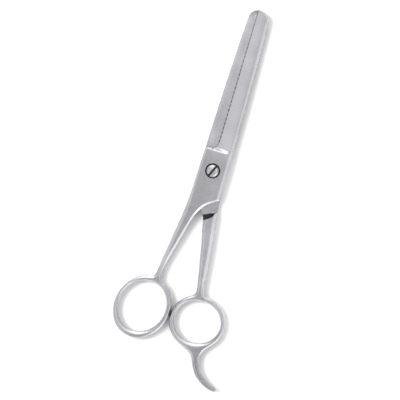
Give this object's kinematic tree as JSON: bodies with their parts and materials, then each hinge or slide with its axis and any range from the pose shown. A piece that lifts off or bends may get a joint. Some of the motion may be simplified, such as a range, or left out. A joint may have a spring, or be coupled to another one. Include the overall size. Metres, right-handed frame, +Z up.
{
  "type": "thinning shears",
  "caption": "Steel hair-thinning shears: a plain blade over a comb blade, joined by a slotted pivot screw, with a thumb ring and a finger ring that carries a curved finger rest.",
  "frame": {"origin": "on the pivot screw's axis at the underside, the plane that the closed shears lie on", "axes": "+Z up along the pivot axis out of the screw's head, +Y along the closed blades to their tips, +X to the finger ring's side"},
  "size_m": [0.0584, 0.1803, 0.0052],
  "materials": {
    "lower_steel": "satin, finely ground along the blade",
    "upper_steel": "satin, with polished shoulders and ring edges",
    "washer_steel": "plain stamped spring steel",
    "screw_steel": "turned and polished"
  },
  "bodies": {
    "lower": {"lower_half": "lower_steel"},
    "upper": {"upper_half": "upper_steel"},
    "screw": {"pivot_screw": "screw_steel", "friction_washer": "washer_steel"}
  },
  "joints": [
    {"name": "blade_pivot", "type": "hinge", "parent": "lower", "child": "upper", "pos_m": [0, 0, 0], "axis": [0, 0, -1], "range_deg": [0, 135]},
    {"name": "tension_screw_turn", "type": "hinge", "parent": "lower", "child": "screw", "pos_m": [0, 0, 0], "axis": [0, 0, -1], "range_deg": [-45, 45]}
  ]
}
